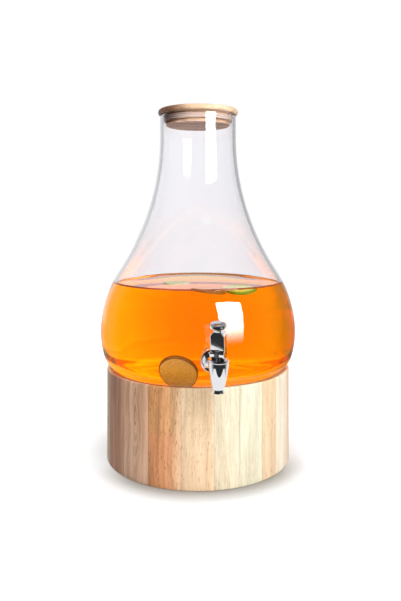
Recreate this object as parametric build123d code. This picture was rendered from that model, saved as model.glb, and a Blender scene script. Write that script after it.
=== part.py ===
from build123d import *
import os
from math import asin, cos, degrees, pi, radians, sin, sqrt, tan

# A glass drink dispenser: a flask-shaped jar with a wooden lid and a lever tap, standing in a ring
# of wooden staves. Millimetres, +Z up, origin on the jar's axis at the stand's underside, the tap
# towards -Y.

# Stand
stand_height = 98.0
stave_thickness = 10.0
stave_widths = (19.5, 19.8, 18.3, 14.3, 16.3, 12.7, 19.1)  # shares of the ring, in glued order
stave_rounds = 3
first_seam = -145.8  # degrees about +Z
seat_width = 3.6
seat_reach = 1.54  # from the jar's line of contact out to the seat's edge
seat_angle = 33.0
stand_edge = 1.2

# Jar
belly_radius = 106.8
side_radius = 95.0
side_sweep = 14.0
corner_radius = 28.0
shoulder_radius = 118.9
flare_height = 213.0
neck_radius = 42.3
neck_length = 24.0
glass_wall = 3.6
punt = 3.0
lip_radius = 1.5
seat_clearance = 0.3

# Lid
lid_overhang = 2.0
lid_thickness = 6.0
lid_edge = 2.4
lid_gap = 0.2
plug_depth = 12.0
plug_gap = 3.2
plug_edge = 0.8
groove_top = 2.0
groove_width = 6.0
groove_depth = 1.6
seal_rib = 0.9
seal_ribs = 3
seal_rub_gap = 0.3
seal_fit = 0.05

# Tap: its levels are measured up its own axis from where the shank's axis crosses it
tap_drop = 10.4
tap_reach = 38.0
spout_length = 16.0
spout_radius = 5.3
spout_lip_radius = 6.0
spout_lip_height = 3.0
spout_bore = 3.6
taper_swell = 0.4
body_radius = 9.2
body_top = 8.0
chamber_radius = 5.8
seat_depth = 5.0
neck_tube_radius = 5.4
shank_radius = 6.0
shank_bore = 3.5
shank_spare = 2.5
flange_radius = 11.3
flange_thickness = 2.8
flange_edge = 1.2
collar_slope = 2.0

# Tap washers and nut
washer_radius = 10.0
washer_thickness = 2.2
washer_fit = 0.1
washer_gap = 0.05
glass_hole_gap = 0.6
nut_flats = 17.0
nut_thickness = 5.5
thread_gap = 0.05

# Bonnet
bonnet_height = 6.4
bonnet_lip_radius = 9.6
bonnet_lip_height = 1.6
bonnet_lip_edge = 0.6
bonnet_groove = 0.5
skirt_length = 3.5
skirt_wall = 1.05
guide_length = 1.2

# Stem with its ring, seal and spring
stem_radius = 3.0
running_gap = 0.05
disc_radius = 4.6
disc_height = 1.2
seal_radius = 5.0
seal_height = 2.8
seal_lift = 0.05
stud_radius = 1.5
stud_length = 2.0
ring_wire = 1.45
ring_groove = 0.8
ring_fit = 0.03
ring_level = 9.0
spring_wire = 0.8
spring_radius = 4.1
spring_turns = 4.5
spring_gap = 0.05

# Lever
pivot_height = 5.5
pin_radius = 1.5
pin_inset = 0.3
eye_thickness = 4.0
eye_length = 9.0
fork_gap = 0.15
fork_roof = 4.2
cam_gap = 0.08
cam_rise = 2.0  # lift of the stem for each radian that the lever turns
cam_points = 9
foot_width = 13.0
foot_top = 5.0
foot_edge = 0.8
heel_depth = 4.2
foot_brow = 4.0
blade_front = 5.5
blade_foot = 1.0
blade_shoulder = 17.2
blade_top = 22.0
blade_edge = 1.0
waist_foot = 17.5
waist_top = 20.3
waist_radius = 5.2
knob_radius = 7.7
knob_widest = 24.9
knob_top = 27.8
knob_cap_radius = 5.6
knob_dome = 0.5
lever_rake = 10.0  # forward of the stem's axis
lever_turn = -24.0  # about the stem's axis, as the loose stem is turned in the photograph


def polar(centre, radius, angle):
    return (centre[0] + radius * cos(radians(angle)), centre[1] + radius * sin(radians(angle)))


def arc(centre, radius, start, end):
    return ThreePointArc(*[polar(centre, radius, angle) for angle in (start, (start + end) / 2, end)])


def dome(edge, height, rise):
    """A shallow arc from a rim of radius edge up to the axis, which it meets squarely."""
    radius = (edge**2 + rise**2) / (2 * rise)
    return arc((0, height + rise - radius), radius, degrees(asin(1 - rise / radius)), 90)


def turned(*edges):
    """A solid turned about Z from an outline of radius and height."""
    return revolve(Plane.XZ * make_face(list(edges)), Axis.Z)


def turned_polygon(*points):
    return turned(Polyline(*points, close=True))


# The jar's lower corner rests on the ring's sloped seat, which sets the ring's width and the jar's height
corner_inset = (side_radius - corner_radius) * cos(radians(side_sweep))
corner_x = belly_radius - side_radius + corner_inset
seat_edge = corner_x + corner_radius * sin(radians(seat_angle)) + seat_reach
stand_bore = seat_edge - seat_width
stand_radius = stand_bore + stave_thickness
seat_rise = corner_radius + seat_clearance + (corner_x - seat_edge) * sin(radians(seat_angle))
corner_centre = (corner_x, stand_height + seat_rise / cos(radians(seat_angle)))
jar_base = corner_centre[1] - corner_radius
belly_height = corner_centre[1] + (side_radius - corner_radius) * sin(radians(side_sweep))
side_centre = (belly_radius - side_radius, belly_height)
shoulder_centre = (belly_radius - shoulder_radius, belly_height)

# The concave flare is tangent to the shoulder below it and to the straight neck above it
narrowing = belly_radius - neck_radius
flare_radius = (narrowing**2 + flare_height**2) / (2 * narrowing) - shoulder_radius
neck_foot = belly_height + flare_height
flare_centre = (neck_radius + flare_radius, neck_foot)
flare_turn = degrees(asin(flare_height / (flare_radius + shoulder_radius)))
rim_height = neck_foot + neck_length
neck_bore = neck_radius - glass_wall

# The tap stands square to the undercut wall: in its own frame +Y runs into the jar, +Z up the tap
tap_lean = degrees(asin(tap_drop / side_radius))
tap_point = polar(side_centre, side_radius + tap_reach, -tap_lean)
tap_place = Pos(0, -tap_point[0], tap_point[1]) * Rot(tap_lean, 0, 0)
along_shank = Rot(-90, 0, 0)

# Levels up the tap's axis
seat_level = -seat_depth
deck = body_top + bonnet_height
pivot_level = deck + pivot_height
seal_foot = seat_level + seal_lift
disc_foot = seal_foot + seal_height
disc_top = disc_foot + disc_height
ring_inner = stem_radius - ring_groove + ring_fit
ring_bore = ring_inner + ring_wire + running_gap

# Places along the shank's axis, from the tap's axis into the jar
flange_back = tap_reach - washer_thickness
flange_front = flange_back - flange_thickness
inner_wall = tap_reach + glass_wall
nut_front = inner_wall + washer_thickness
shank_end = nut_front + nut_thickness + shank_spare


def jar_form(grown, top):
    """The jar's outline turned solid, grown outwards or, where negative, inwards."""
    neck = neck_radius + grown
    return turned(
        dome(corner_x, jar_base - grown, punt),
        arc(corner_centre, corner_radius + grown, -90, -side_sweep),
        arc(side_centre, side_radius + grown, -side_sweep, 0),
        arc(shoulder_centre, shoulder_radius + grown, 0, flare_turn),
        arc(flare_centre, flare_radius - grown, 180 + flare_turn, 180),
        Line((neck, neck_foot), (neck, top)),
        Line((neck, top), (0, top)),
        Line((0, top), (0, jar_base + punt - grown)),
    )


def make_staves():
    seat_foot = stand_height - seat_width * tan(radians(seat_angle))
    section = make_face(
        Polyline(
            (stand_bore, 0),
            (stand_radius, 0),
            (stand_radius, stand_height),
            (seat_edge, stand_height),
            (stand_bore, seat_foot),
            close=True,
        )
    )
    section = Plane.XZ * fillet(section.vertices().group_by(Axis.X)[-1], stand_edge)
    share = 360 / (sum(stave_widths) * stave_rounds)
    staves = {}
    seam = first_seam
    for number, width in enumerate(stave_widths * stave_rounds, start=1):
        staves[f"stave_{number:02d}"] = Rot(0, 0, seam) * revolve(section, Axis.Z, width * share)
        seam += width * share
    return staves


def make_jar():
    jar = jar_form(0, rim_height) - jar_form(-glass_wall, rim_height + glass_wall)
    jar = fillet(jar.edges().group_by(Axis.Z)[-1], min(lip_radius, glass_wall * 0.45))
    hole = Cylinder(shank_radius + glass_hole_gap, tap_reach)
    return jar - tap_place * Pos(0, tap_reach, 0) * along_shank * hole


def make_lid():
    base = rim_height + lid_gap
    disc = neck_radius + lid_overhang
    plug = neck_bore - plug_gap
    groove_floor = plug - groove_depth
    groove_high = base - groove_top
    groove_low = groove_high - groove_width
    foot = base - plug_depth
    lid = turned_polygon(
        (0, foot),
        (plug - plug_edge, foot),
        (plug, foot + plug_edge),
        (plug, groove_low),
        (groove_floor, groove_low),
        (groove_floor, groove_high),
        (plug, groove_high),
        (plug, base),
        (disc, base),
        (disc, base + lid_thickness),
        (0, base + lid_thickness),
    )
    rims = lid.edges().filter_by(GeomType.CIRCLE).filter_by(lambda edge: edge.radius > neck_radius)
    lid = fillet(rims, lid_edge)
    seal = make_lid_seal(groove_floor + seal_fit, groove_low + seal_fit, groove_high - seal_fit)
    return {"lid": lid, "lid_seal": seal}


def make_lid_seal(inner, low, high):
    """A band with ribs that swell out to the glass, one arc to a rib."""
    crest = neck_bore - seal_rub_gap
    root = crest - seal_rib
    pitch = (high - low) / seal_ribs
    edges = [Line((inner, high), (inner, low)), Line((inner, low), (root, low))]
    for rib in range(seal_ribs):
        foot = low + rib * pitch
        edges.append(ThreePointArc((root, foot), (crest, foot + pitch / 2), (root, foot + pitch)))
    edges.append(Line((root, high), (inner, high)))
    return turned(*edges)


def make_tap_body():
    foot = -spout_length
    lip_top = foot + spout_lip_height
    lip_middle = (spout_radius + (spout_lip_radius - spout_radius) * 0.3, foot + spout_lip_height * 0.5)
    taper_middle = ((spout_radius + body_radius) / 2 + taper_swell, (lip_top + body_top) / 2)
    shell = turned(
        Line((0, foot), (spout_lip_radius, foot)),
        ThreePointArc((spout_lip_radius, foot), lip_middle, (spout_radius, lip_top)),
        ThreePointArc((spout_radius, lip_top), taper_middle, (body_radius, body_top)),
        Line((body_radius, body_top), (0, body_top)),
        Line((0, body_top), (0, foot)),
    )
    shank = turned_polygon(
        (0, 0),
        (neck_tube_radius, 0),
        (neck_tube_radius, flange_front - collar_slope),
        (neck_tube_radius + collar_slope, flange_front),
        (flange_radius - flange_edge, flange_front),
        (flange_radius, flange_front + flange_edge),
        (flange_radius, flange_back),
        (shank_radius, flange_back),
        (shank_radius, shank_end),
        (0, shank_end),
    )
    chamber = turned_polygon(
        (0, foot),
        (spout_bore, foot),
        (spout_bore, seat_level),
        (chamber_radius, seat_level),
        (chamber_radius, body_top),
        (0, body_top),
    )
    passage = turned_polygon((0, 0), (shank_bore, 0), (shank_bore, shank_end), (0, shank_end))
    return shell + along_shank * shank - chamber - along_shank * passage


def make_shank_seals():
    """Washers pressed to the curved glass on both its sides, and the nut that draws them tight."""
    hole = shank_radius + washer_fit
    spare = washer_radius / 2  # more than the glass bends away under a washer
    ring = Circle(washer_radius) - Circle(hole)
    outer = Pos(0, 0, flange_back) * extrude(ring, washer_thickness + spare)
    inner = Pos(0, 0, nut_front) * extrude(ring, -washer_thickness - spare)
    nut = extrude(RegularPolygon(nut_flats / 2, 6, major_radius=False), nut_thickness)
    nut -= extrude(Circle(shank_radius + thread_gap), nut_thickness)
    outer = tap_place * along_shank * outer - jar_form(washer_gap, rim_height)
    inner = (tap_place * along_shank * inner) & jar_form(-glass_wall - washer_gap, rim_height)
    nut = tap_place * along_shank * Pos(0, 0, nut_front) * nut
    return {"outer_washer": outer, "inner_washer": inner, "lock_nut": nut}


def make_bonnet():
    skirt = chamber_radius - thread_gap
    skirt_foot = body_top - skirt_length
    lip_foot = deck - bonnet_lip_height
    waist = body_radius - bonnet_groove
    stem_bore = stem_radius + running_gap
    guide_foot = deck - guide_length
    return turned_polygon(
        (skirt - skirt_wall, skirt_foot),
        (skirt, skirt_foot),
        (skirt, body_top),
        (body_radius, body_top),
        (body_radius, lip_foot - 2 * bonnet_groove),
        (waist, lip_foot - bonnet_groove),
        (waist, lip_foot),
        (bonnet_lip_radius, lip_foot),
        (bonnet_lip_radius, deck - bonnet_lip_edge),
        (bonnet_lip_radius - bonnet_lip_edge, deck),
        (stem_bore, deck),
        (stem_bore, guide_foot),
        (ring_bore, guide_foot),
        (ring_bore, body_top),
        (skirt - skirt_wall, body_top),
    )


def make_stem():
    """A rod with a ring groove, and flats milled at its top for an eye that the lever's fork straddles."""
    groove = stem_radius - ring_groove
    groove_half = ring_wire / 2 + ring_fit
    eye_foot = pivot_level - eye_length
    rod = turned_polygon(
        (0, disc_foot - stud_length),
        (stud_radius, disc_foot - stud_length),
        (stud_radius, disc_foot),
        (disc_radius, disc_foot),
        (disc_radius, disc_top),
        (stem_radius, disc_top),
        (stem_radius, ring_level - groove_half),
        (groove, ring_level - groove_half),
        (groove, ring_level + groove_half),
        (stem_radius, ring_level + groove_half),
        (stem_radius, eye_foot),
        (0, eye_foot),
    )
    outline = Rectangle(2 * stem_radius, eye_length, align=(Align.CENTER, Align.MAX)) + Circle(stem_radius)
    eye = Pos(0, 0, pivot_level) * extrude(Plane.YZ * outline, eye_thickness / 2, both=True)
    eye &= Pos(0, 0, pivot_level) * Cylinder(stem_radius, 2 * eye_length)
    pin_hole = Pos(0, 0, pivot_level) * Rot(0, 90, 0) * Cylinder(pin_radius + running_gap / 2, foot_width)
    ring_centre = ring_inner + ring_wire / 2
    ring = Pos(0, 0, ring_level) * Torus(ring_centre, ring_wire / 2)
    seal = Pos(0, 0, seal_foot) * extrude(Circle(seal_radius), seal_height)
    seal -= Pos(0, 0, disc_foot) * extrude(Circle(stud_radius + seal_fit), -stud_length - seal_fit)
    pin = Pos(0, 0, pivot_level) * Rot(0, 90, 0) * Cylinder(pin_radius, foot_width - 2 * pin_inset)
    return {
        "valve_stem": rod + eye - pin_hole,
        "stem_ring": ring,
        "seat_seal": seal,
        "pivot_pin": pin,
    }


def make_spring():
    """A wire wound up a helix, laid as pairs of tangent arcs, two to each quarter turn."""
    low = disc_top + spring_gap + spring_wire / 2
    high = body_top - spring_gap - spring_wire / 2
    rise = (high - low) / spring_turns
    steps = round(spring_turns * 4)

    def point(turn):
        angle = 2 * pi * turn
        return Vector(spring_radius * cos(angle), spring_radius * sin(angle), low + rise * turn)

    def heading(turn):
        angle = 2 * pi * turn
        return Vector(-sin(angle), cos(angle), rise / (2 * pi * spring_radius)).normalized()

    edges = []
    for step in range(steps):
        begin = step * spring_turns / steps
        end = (step + 1) * spring_turns / steps
        start, finish = point(begin), point(end)
        leave, arrive = heading(begin), heading(end)
        span = finish - start
        along = span.dot(leave + arrive)
        spread = 1 - leave.dot(arrive)
        arm = (sqrt(along**2 + 2 * spread * span.dot(span)) - along) / (2 * spread)
        knee_in = start + leave * arm
        knee_out = finish - arrive * arm
        joint = (knee_in + knee_out) * 0.5
        edges.append(Edge.make_tangent_arc(start, leave, joint))
        edges.append(Edge.make_tangent_arc(joint, knee_out - knee_in, finish))
    path = Wire(edges)
    section = Plane(origin=point(0), z_dir=heading(0)) * Circle(spring_wire / 2)
    samples = [point(index / 24) for index in range(round(spring_turns * 24) + 1)]
    least = min(
        (samples[b] - samples[a]).length - spring_wire
        for a in range(len(samples))
        for b in range(a + 12, len(samples))
    )
    print(f"spring: least gap between turns {least:.2f} mm")
    return sweep(section, path=path)


def make_lever():
    """A cam foot cut into a fork, an arched blade that leans forward, and a flared knob on top."""
    reach = pivot_height - cam_gap

    def cam(turn):
        lift = reach + cam_rise * turn
        return (-lift * sin(turn) - cam_rise * cos(turn), -lift * cos(turn) + cam_rise * sin(turn))

    curve = [cam(pi / 2 * index / (cam_points - 1)) for index in range(cam_points)]
    side = make_face(
        [
            Line((heel_depth, -reach), curve[0]),
            Spline(curve, tangents=((-1, 0), (0, 1))),
            Polyline(curve[-1], (-foot_brow, foot_top), (heel_depth, foot_top), (heel_depth, -reach)),
        ]
    )
    foot = Pos(-foot_width / 2, 0, 0) * extrude(Plane.YZ * side, foot_width)
    cheeks = foot.faces().sort_by(Axis.X)
    foot = fillet(cheeks[0].edges() + cheeks[-1].edges(), foot_edge)
    half = foot_width / 2
    arch = make_face(
        [
            ThreePointArc((-half, blade_shoulder), (0, blade_top), (half, blade_shoulder)),
            Polyline((half, blade_shoulder), (half, blade_foot), (-half, blade_foot), (-half, blade_shoulder)),
        ]
    )
    blade = Pos(0, heel_depth, 0) * extrude(Plane.XZ * arch, blade_front + heel_depth)
    faces = blade.faces().sort_by(Axis.Y)
    blade = fillet(faces[0].edges() + faces[-1].edges(), blade_edge)
    flare_middle = (waist_radius + (knob_radius - waist_radius) * 0.2, (waist_top + knob_widest) / 2)
    crown = knob_top - knob_widest
    round_middle = (knob_radius - (knob_radius - knob_cap_radius) * 0.25, knob_widest + crown * 0.7)
    knob = turned(
        Polyline((0, waist_foot), (waist_radius, waist_foot), (waist_radius, waist_top)),
        ThreePointArc((waist_radius, waist_top), flare_middle, (knob_radius, knob_widest)),
        ThreePointArc((knob_radius, knob_widest), round_middle, (knob_cap_radius, knob_top)),
        dome(knob_cap_radius, knob_top, knob_dome),
        Line((0, knob_top + knob_dome), (0, waist_foot)),
    )
    slot_width = eye_thickness + 2 * fork_gap
    below = (Align.CENTER, Align.CENTER, Align.MAX)
    slot = Box(slot_width, 8 * foot_width, 8 * foot_width, align=below)
    hole = Rot(0, 90, 0) * Cylinder(pin_radius + running_gap, 2 * foot_width)
    lever = foot + Rot(lever_rake, 0, 0) * (blade + knob)
    return Pos(0, 0, pivot_level) * (lever - Pos(0, 0, fork_roof) * slot - hole)


pieces = make_staves()
pieces["glass_jar"] = make_jar()
pieces.update(make_lid())
pieces.update(make_shank_seals())
in_tap = make_stem()
in_tap["tap_body"] = make_tap_body()
in_tap["bonnet"] = make_bonnet()
in_tap["valve_spring"] = make_spring()
in_tap["lever"] = make_lever()
for name in ("valve_stem", "pivot_pin", "lever"):
    in_tap[name] = Rot(0, 0, lever_turn) * in_tap[name]
for name, piece in in_tap.items():
    pieces[name] = tap_place * piece

pivot = tap_place * Pos(0, 0, pivot_level)
print(f"lever pivot {tuple(round(value, 3) for value in pivot.position)}, tap lean {tap_lean:.4f} degrees")
print(f"jar base {jar_base:.2f}, belly {belly_height:.2f}, rim {rim_height:.2f}")

os.makedirs("parts", exist_ok=True)
for name, piece in pieces.items():
    export_step(piece, f"parts/{name}.step")
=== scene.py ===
import bpy
import numpy as np
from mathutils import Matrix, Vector


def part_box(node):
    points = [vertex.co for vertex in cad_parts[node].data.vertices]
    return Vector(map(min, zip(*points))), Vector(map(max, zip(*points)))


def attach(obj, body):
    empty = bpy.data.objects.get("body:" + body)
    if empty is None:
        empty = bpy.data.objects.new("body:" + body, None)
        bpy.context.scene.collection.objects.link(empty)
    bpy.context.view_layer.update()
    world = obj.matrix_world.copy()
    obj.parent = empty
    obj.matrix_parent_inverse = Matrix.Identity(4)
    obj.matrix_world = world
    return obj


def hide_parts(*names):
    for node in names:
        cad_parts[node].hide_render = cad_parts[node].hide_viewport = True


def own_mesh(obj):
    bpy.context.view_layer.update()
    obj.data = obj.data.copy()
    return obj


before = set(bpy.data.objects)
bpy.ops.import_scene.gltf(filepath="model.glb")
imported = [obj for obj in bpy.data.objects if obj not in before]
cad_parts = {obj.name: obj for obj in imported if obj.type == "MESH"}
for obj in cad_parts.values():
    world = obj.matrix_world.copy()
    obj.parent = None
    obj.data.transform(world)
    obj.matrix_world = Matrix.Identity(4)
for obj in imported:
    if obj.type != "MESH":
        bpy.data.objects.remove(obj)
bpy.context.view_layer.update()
mm = 0.001
white = (1, 1, 1, 1)


# shared mesh helpers
def gridFaces(rows, columns, wrap, closed=False):
    # quads of a grid whose points are stored row by row; wrap joins the last column to the first, and closed
    # the last row to the first
    i, j = np.meshgrid(np.arange(rows if closed else rows - 1), np.arange(columns if wrap else columns - 1),
                       indexing="ij")
    n, k = (i + 1) % rows, (j + 1) % columns
    return np.stack([i * columns + j, i * columns + k, n * columns + k, n * columns + j], -1).reshape(-1, 4)


def placeObject(name, data):
    placed = bpy.data.objects.new(name, data)
    bpy.context.scene.collection.objects.link(placed)
    return placed


def addPiece(name, points, faces, material, body, stands=(), marks=None):
    mesh = bpy.data.meshes.new(name)
    mesh.from_pydata(np.asarray(points).tolist(), [], [list(f) for f in faces])
    mesh.polygons.foreach_set("use_smooth", np.full(len(mesh.polygons), True))
    for label, (kind, values) in (marks or {}).items():
        layer = mesh.attributes.new(label, kind, "POINT")
        key = {"FLOAT_VECTOR": "vector", "FLOAT_COLOR": "color"}[kind]
        layer.data.foreach_set(key, np.asarray(values, np.float32).ravel())
    mesh.materials.append(material)
    mesh.update()
    piece = placeObject(name, mesh)
    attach(piece, body)
    if stands:
        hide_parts(*stands)
    return piece


def roundAngles(count):
    return np.arange(count) * 2 * np.pi / count


def carried(r, z, turn):
    # columns of radius and height carried round Z to each angle of turn
    return np.stack([r * np.cos(turn), r * np.sin(turn), z + 0 * turn], -1)


def turned(profile, count):
    # a profile of radius and height carried round Z; a first or last point on the axis becomes a pole
    profile = np.asarray(profile, float)
    low, high = profile[0, 0] < 1e-9, profile[-1, 0] < 1e-9
    rings = profile[int(low): len(profile) - int(high)]
    points = carried(rings[:, :1], rings[:, 1:], roundAngles(count)).reshape(-1, 3)
    faces = gridFaces(len(rings), count, True).tolist()
    j = np.arange(count)
    if low:
        points = np.vstack([points, [0, 0, profile[0, 1]]])
        faces += np.stack([np.full(count, len(points) - 1), (j + 1) % count, j], -1).tolist()
    if high:
        points = np.vstack([points, [0, 0, profile[-1, 1]]])
        top = (len(rings) - 1) * count
        faces += np.stack([np.full(count, len(points) - 1), top + j, top + (j + 1) % count], -1).tolist()
    return points, faces


def arcPoints(centre, radius, start, end, count):
    a = np.radians(np.linspace(start, end, count))
    return np.stack([centre[0] + radius * np.cos(a), centre[1] + radius * np.sin(a)], -1)


def straight(start, end, count):
    return np.stack([np.linspace(a, b, count) for a, b in zip(start, end)], -1)


def joined(*runs):
    # runs of profile points end to end, with repeated points dropped
    line = np.vstack([np.asarray(r, float).reshape(-1, 2) for r in runs])
    keep = np.r_[True, np.linalg.norm(np.diff(line, axis=0), axis=1) > 1e-7]
    return line[keep]


# shared material helpers
def newMaterial(name):
    material = bpy.data.materials.new(name)
    material.use_nodes = True
    tree = material.node_tree
    return material, tree, tree.nodes["Principled BSDF"]


def feed(tree, node, inputs):
    # links or sets the inputs of a node, by name or by number
    for key, value in inputs.items():
        if isinstance(value, bpy.types.NodeSocket):
            tree.links.new(value, node.inputs[key])
        else:
            node.inputs[key].default_value = value


def addNode(tree, kind, settings=None, inputs=None):
    node = tree.nodes.new(kind)
    for key, value in (settings or {}).items():
        setattr(node, key, value)
    feed(tree, node, inputs or {})
    return node


def maths(tree, operation, *values):
    return addNode(tree, "ShaderNodeMath", {"operation": operation}, dict(enumerate(values))).outputs[0]


def times(tree, first, *others):
    for other in others:
        first = maths(tree, "MULTIPLY", first, other)
    return first


def plus(tree, first, *others):
    for other in others:
        first = maths(tree, "ADD", first, other)
    return first


def minus(tree, a, b):
    return maths(tree, "SUBTRACT", a, b)


def timesPlus(tree, a, b, c):
    return maths(tree, "MULTIPLY_ADD", a, b, c)


def lengthOf(tree, a, b):
    return maths(tree, "SQRT", plus(tree, times(tree, a, a), times(tree, b, b)))


def clamped(tree, value):
    return addNode(tree, "ShaderNodeClamp", None, {"Value": value}).outputs[0]


def spread(tree, value, low, high, start, end):
    # goes smoothly from start to end while the value goes from low to high
    node = addNode(tree, "ShaderNodeMapRange", {"interpolation_type": "SMOOTHSTEP"}, {
        "Value": value, "From Min": low, "From Max": high, "To Min": start, "To Max": end})
    return node.outputs[0]


def vectorMaths(tree, operation, *values):
    return addNode(tree, "ShaderNodeVectorMath", {"operation": operation}, dict(enumerate(values))).outputs


def parts(tree, vector):
    return list(addNode(tree, "ShaderNodeSeparateXYZ", None, {0: vector}).outputs)


def objectPlace(tree):
    return addNode(tree, "ShaderNodeTexCoord").outputs["Object"]


def mark(tree, name):
    return addNode(tree, "ShaderNodeAttribute", {"attribute_name": name}).outputs


def noise(tree, vector, scale, detail, roughness=0.5):
    return addNode(tree, "ShaderNodeTexNoise", None, {
        "Vector": vector, "Scale": scale, "Detail": detail, "Roughness": roughness}).outputs


def grey(tree, value):
    return addNode(tree, "ShaderNodeCombineColor", None, {"Red": value, "Green": value, "Blue": value}).outputs[0]


def mixColour(tree, kind, share, a, b):
    # inputs 0, 6 and 7 of a colour mix are its factor and its two colours, and output 2 is the mixed colour
    node = addNode(tree, "ShaderNodeMix", {"data_type": "RGBA", "blend_type": kind, "clamp_result": False})
    feed(tree, node, {0: share, 6: a, 7: b})
    return node.outputs[2]


def ramp(tree, value, stops):
    node = addNode(tree, "ShaderNodeValToRGB", None, {"Fac": value})
    band = node.color_ramp
    while len(band.elements) < len(stops):
        band.elements.new(0.5)
    for element, (place, shade) in zip(band.elements, stops):
        element.position = place
        element.color = (*shade, 1) if hasattr(shade, "__len__") else (shade, shade, shade, 1)
    return node.outputs["Color"]


def newGroup(name, takes, gives):
    group = bpy.data.node_groups.new(name, "ShaderNodeTree")
    for label, kind, value in takes:
        socket = group.interface.new_socket(label, in_out="INPUT", socket_type=kind)
        if value is not None:
            socket.default_value = value
    for label, kind in gives:
        group.interface.new_socket(label, in_out="OUTPUT", socket_type=kind)
    return group, group.nodes.new("NodeGroupInput").outputs, group.nodes.new("NodeGroupOutput")


def addBump(tree, shader, height, strength, distance):
    bump = addNode(tree, "ShaderNodeBump", None, {"Height": height, "Strength": strength, "Distance": distance})
    feed(tree, shader, {"Normal": bump.outputs[0]})


# wood grain: long fibres, growth bands and pores on a vector whose Z runs along the grain, in metres
grainLook = {
    "swayScale": 14.0, "sway": (0.010, 0.010, 0.0),
    "bands": ((190, 190, 9), 2.0, 0.5), "fibres": ((1100, 1100, 28), 3.0, 0.6), "pores": ((1500, 1500, 170), 1.0, 0.5),
    "bandGain": 3.6, "fibreGain": 0.7, "poreFrom": 0.6, "poreSoft": 0.02, "poreGain": 5.0, "poreMost": 0.85,
    "redPower": 0.8, "bluePower": 1.25, "stainAndShade": (0.42, 0.27, 0.18, 1), "pit": 1.5, "rough": (0.18, 0.4),
    "specular": 0.35, "bumpDepth": 0.0004,
}


def makeGrainGroup():
    g = grainLook
    group, takes, gives = newGroup(
        "woodGrain",
        [("Along", "NodeSocketVector", None), ("Tone", "NodeSocketColor", (0.7, 0.5, 0.3, 1)),
         ("Seed", "NodeSocketFloat", 0.0), ("Pores", "NodeSocketFloat", 0.3), ("Bands", "NodeSocketFloat", 0.3)],
        [("Color", "NodeSocketColor"), ("Height", "NodeSocketFloat"), ("Roughness", "NodeSocketFloat")])
    shift = addNode(group, "ShaderNodeCombineXYZ", None, {axis: takes["Seed"] for axis in "XYZ"}).outputs[0]
    place = vectorMaths(group, "ADD", takes["Along"], shift)[0]
    sway = noise(group, place, g["swayScale"], 1.0)["Color"]
    bend = vectorMaths(group, "MULTIPLY_ADD", sway, g["sway"], place)[0]

    def stretched(scale, detail, rough):
        return noise(group, vectorMaths(group, "MULTIPLY", bend, scale)[0], 1.0, detail, rough)["Fac"]

    bands, fibres, pores = [stretched(*g[key]) for key in ("bands", "fibres", "pores")]
    wide = times(group, minus(group, bands, 0.5), times(group, takes["Bands"], g["bandGain"]))
    fine = times(group, minus(group, fibres, 0.5), g["fibreGain"])
    light = plus(group, wide, fine, 1.0)
    dark = maths(group, "SMOOTH_MAX", minus(group, pores, g["poreFrom"]), 0.0, g["poreSoft"])
    dark = times(group, dark, times(group, takes["Pores"], g["poreGain"]))
    shade = addNode(group, "ShaderNodeCombineColor", None, {
        "Red": maths(group, "POWER", light, g["redPower"]), "Green": light,
        "Blue": maths(group, "POWER", light, g["bluePower"])}).outputs[0]
    wood = mixColour(group, "MULTIPLY", 1.0, takes["Tone"], shade)
    stainAndShade = mixColour(group, "MULTIPLY", 1.0, takes["Tone"], g["stainAndShade"])
    feed(group, gives, {
        "Color": mixColour(group, "MIX", maths(group, "MINIMUM", dark, g["poreMost"]), wood, stainAndShade),
        "Height": minus(group, fibres, times(group, dark, g["pit"])),
        "Roughness": timesPlus(group, fibres, *g["rough"])})
    return group


grainGroup = makeGrainGroup()


def placeGrain(tree, inputs):
    return addNode(tree, "ShaderNodeGroup", {"node_tree": grainGroup}, inputs).outputs


def finishWood(tree, shader, colour, wood, bump):
    feed(tree, shader, {
        "Base Color": colour, "Roughness": wood["Roughness"], "Specular IOR Level": grainLook["specular"]})
    addBump(tree, shader, wood["Height"], bump, grainLook["bumpDepth"])


def newClear(name, ior):
    # a clear body with a sharp surface
    material, tree, shader = newMaterial(name)
    feed(tree, shader, {"Base Color": white, "Roughness": 0.0, "IOR": ior, "Transmission Weight": 1.0})
    return material, tree, shader


print("helpers ready")

# jar form, shared by the glass and the drink
jarForm = {
    "belly": 106.8, "side": 95.0, "sweep": 14.0, "corner": 28.0, "shoulder": 118.9, "flare": 213.0,
    "neck": 42.3, "wall": 3.6, "punt": 3.0, "lip": 1.5,
}
jarSteps = {"base": 26, "corner": 30, "side": 14, "shoulder": 40, "flare": 64, "neck": 8, "lip": 8}
jarLow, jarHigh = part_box("glass_jar")
jarBase, jarRim = jarLow.z / mm, jarHigh.z / mm
sideSweep, undercut = np.radians(jarForm["sweep"]), jarForm["side"] - jarForm["corner"]
cornerCentre = (jarForm["belly"] - jarForm["side"] + undercut * np.cos(sideSweep), jarBase + jarForm["corner"])
bellyHeight = cornerCentre[1] + undercut * np.sin(sideSweep)
sideCentre = (jarForm["belly"] - jarForm["side"], bellyHeight)
shoulderCentre = (jarForm["belly"] - jarForm["shoulder"], bellyHeight)
narrowing = jarForm["belly"] - jarForm["neck"]
flareRadius = (narrowing**2 + jarForm["flare"]**2) / (2 * narrowing) - jarForm["shoulder"]
neckFoot = bellyHeight + jarForm["flare"]
flareCentre = (jarForm["neck"] + flareRadius, neckFoot)
flareTurn = np.degrees(np.arcsin(jarForm["flare"] / (flareRadius + jarForm["shoulder"])))


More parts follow.
